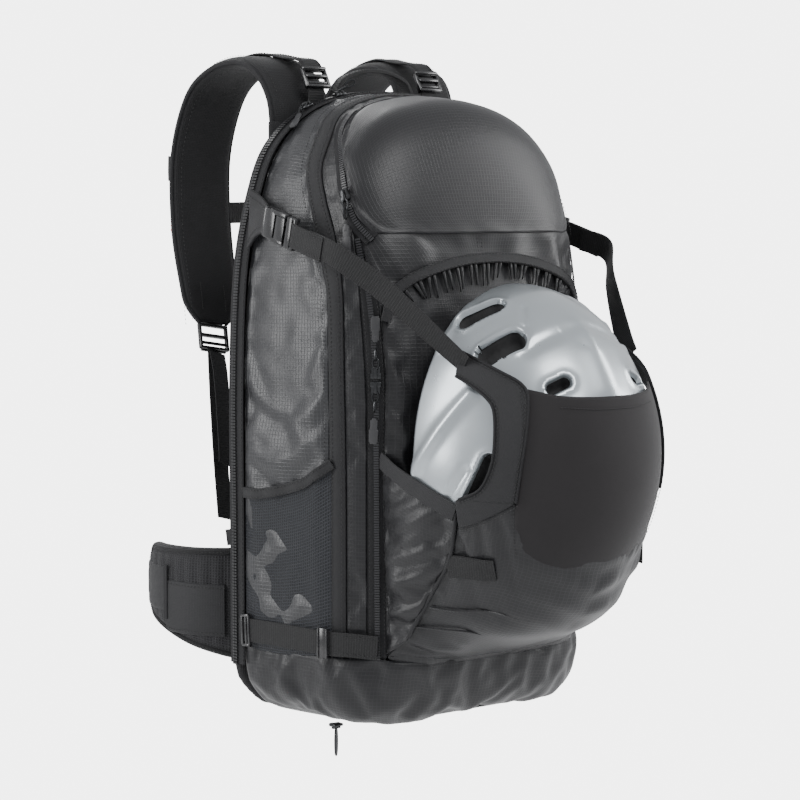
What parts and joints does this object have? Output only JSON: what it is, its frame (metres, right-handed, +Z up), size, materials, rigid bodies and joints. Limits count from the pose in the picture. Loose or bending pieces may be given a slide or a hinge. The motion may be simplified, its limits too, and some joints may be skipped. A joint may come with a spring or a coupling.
{
  "type": "ski touring backpack",
  "caption": "Ski backpack with airbag system, back protector, hip belt, mesh side pockets and a front holder carrying a helmet.",
  "frame": {"origin": "centre of the lumbar pad's flat rear face, which rests on the wearer", "axes": "+Z up, +Y towards the wearer, -Y out of the front of the pack, -X the wearer's left"},
  "size_m": [0.326, 0.507, 0.6028],
  "materials": {
    "nylon": "black ripstop nylon with a coated back",
    "grey_nylon": "dark grey satin ripstop",
    "stretch": "matt stretch softshell",
    "laminate": "laser-cut laminate with a fine grain",
    "mesh": "open knitted mesh",
    "airmesh": "spacer mesh over foam",
    "foam": "moulded foam",
    "webbing": "woven polyester webbing",
    "acetal": "injection-moulded acetal",
    "zip": "moulded teeth on woven tape",
    "cord": "cord with a moulded end",
    "helmet": "satin silver lacquer on polycarbonate",
    "eps": "expanded foam, black",
    "alloy": "turned and anodised",
    "airbag": "coated airbag nylon",
    "hose": "smooth rubber",
    "grip": "red moulded grip"
  },
  "bodies": {
    "back_panel": {"back_panel": "airmesh", "back_protector": "foam", "lumbar_pad": "airmesh", "back_pads": "airmesh", "main_zip_panel_half": "zip", "shoulder_yoke": "airmesh", "hip_belt_base": "airmesh", "lower_strap_anchors": "laminate", "load_lifter_buckles": "acetal", "gas_cylinder": "alloy", "cylinder_clamps": "acetal", "valve_head": "alloy", "folded_airbag": "airbag", "inflation_hose": "hose", "trigger_cable": "hose"},
    "main_bag": {"main_zip_bag_half": "zip", "main_compartment": "grey_nylon", "front_compartment": "nylon", "top_pocket": "nylon", "base_pocket": "nylon", "mesh_pockets": "mesh", "lower_straps": "webbing", "lower_buckles": "acetal", "pocket_zip_tapes": "zip", "holder_anchors": "laminate", "holder_buckle_sockets": "acetal"},
    "helmet_holder": {"stretch_panel": "stretch", "holder_wings": "laminate", "holder_sling": "nylon", "holder_gussets": "nylon", "holder_straps": "webbing", "helmet_shell": "helmet", "helmet_liner": "eps"},
    "holder_buckle_left": {"holder_buckle_left": "acetal"},
    "holder_buckle_right": {"holder_buckle_right": "acetal"},
    "main_zip_slider_lower": {"main_zip_slider_lower": "cord"},
    "main_zip_slider_upper": {"main_zip_slider_upper": "cord"},
    "front_zip_slider_upper": {"front_zip_slider_upper": "cord"},
    "front_zip_slider_lower": {"front_zip_slider_lower": "cord"},
    "top_pocket_slider": {"top_pocket_slider": "cord"},
    "rain_cover_slider": {"rain_cover_slider": "cord"},
    "grab_handle": {"grab_handle": "webbing"},
    "shoulder_harness": {"left_shoulder_strap": "airmesh", "right_shoulder_strap": "airmesh", "strap_adjusters": "acetal", "adjuster_webbing": "webbing", "chest_strap_rails": "acetal", "release_sleeve": "laminate"},
    "chest_strap": {"chest_webbing": "webbing", "chest_buckle_socket": "acetal", "chest_buckle_tongue": "acetal"},
    "chest_buckle_button": {"chest_buckle_button": "acetal"},
    "release_handle": {"release_handle": "grip"},
    "puncture_pin": {"puncture_pin": "alloy"},
    "hip_wing_left": {"hip_wing_left": "airmesh", "hip_webbing_left": "webbing", "waist_buckle_socket": "acetal"},
    "hip_wing_right": {"hip_wing_right": "airmesh", "hip_webbing_right": "webbing", "waist_buckle_tongue": "acetal"}
  },
  "joints": [
    {"name": "bag_opening", "type": "hinge", "parent": "back_panel", "child": "main_bag", "pos_m": [0, -0.021, -0.108], "axis": [1, 0, 0], "range_deg": [0, 60]},
    {"name": "helmet_holder_tilt", "type": "hinge", "parent": "main_bag", "child": "helmet_holder", "pos_m": [0, -0.19, -0.052], "axis": [1, 0, 0], "range_deg": [0, 35]},
    {"name": "left_holder_buckle_pull", "type": "slide", "parent": "main_bag", "child": "holder_buckle_left", "axis": [0, -0.9641, -0.2655], "range_m": [0, 0.018]},
    {"name": "right_holder_buckle_pull", "type": "slide", "parent": "main_bag", "child": "holder_buckle_right", "axis": [0, -0.9641, -0.2655], "range_m": [0, 0.018]},
    {"name": "main_zip_lower_travel", "type": "hinge", "parent": "back_panel", "child": "main_zip_slider_lower", "pos_m": [-0.0244, -0.026, 0.312], "axis": [0, -1, 0], "range_deg": [0, 28]},
    {"name": "main_zip_upper_travel", "type": "hinge", "parent": "back_panel", "child": "main_zip_slider_upper", "pos_m": [0, -0.026, 0.239], "axis": [0, 1, 0], "range_deg": [0, 24]},
    {"name": "front_zip_upper_travel", "type": "slide", "parent": "main_bag", "child": "front_zip_slider_upper", "axis": [0, 0, 1], "range_m": [0, 0.03]},
    {"name": "front_zip_lower_travel", "type": "slide", "parent": "main_bag", "child": "front_zip_slider_lower", "axis": [0, 0, -1], "range_m": [0, 0.12]},
    {"name": "top_pocket_zip_travel", "type": "slide", "parent": "main_bag", "child": "top_pocket_slider", "axis": [0.0363, 0.4899, 0.871], "range_m": [-0.02, 0.016]},
    {"name": "rain_cover_zip_travel", "type": "slide", "parent": "main_bag", "child": "rain_cover_slider", "axis": [1, 0, 0], "range_m": [0, 0.12]},
    {"name": "grab_handle_fold", "type": "hinge", "parent": "back_panel", "child": "grab_handle", "pos_m": [0, -0.016, 0.429], "axis": [-1, 0, 0], "range_deg": [0, 45]},
    {"name": "shoulder_strap_lift", "type": "hinge", "parent": "back_panel", "child": "shoulder_harness", "pos_m": [0, -0.003, 0.402], "axis": [1, 0, 0], "range_deg": [-3, 8]},
    {"name": "chest_strap_height", "type": "slide", "parent": "shoulder_harness", "child": "chest_strap", "axis": [0, 0.126, 0.992], "range_m": [-0.02, 0.02]},
    {"name": "chest_buckle_press", "type": "slide", "parent": "chest_strap", "child": "chest_buckle_button", "axis": [0, -1, 0], "range_m": [0, 0.002], "stiffness_N_per_m": 400},
    {"name": "release_handle_pull", "type": "slide", "parent": "shoulder_harness", "child": "release_handle", "axis": [0, 0, -1], "range_m": [0, 0.03]},
    {"name": "puncture_pin_travel", "type": "slide", "parent": "back_panel", "child": "puncture_pin", "axis": [1, 0, 0], "range_m": [0, 0.008]},
    {"name": "left_hip_wing_swing", "type": "hinge", "parent": "back_panel", "child": "hip_wing_left", "pos_m": [-0.105, 0, -0.019], "axis": [0, 0, 1], "range_deg": [-5, 30]},
    {"name": "right_hip_wing_swing", "type": "hinge", "parent": "back_panel", "child": "hip_wing_right", "pos_m": [0.105, 0, -0.019], "axis": [0, 0, -1], "range_deg": [-5, 30]}
  ],
  "couplings": [
    {"joint": "puncture_pin_travel", "follows": "release_handle_pull", "ratio": 0.26667}
  ]
}
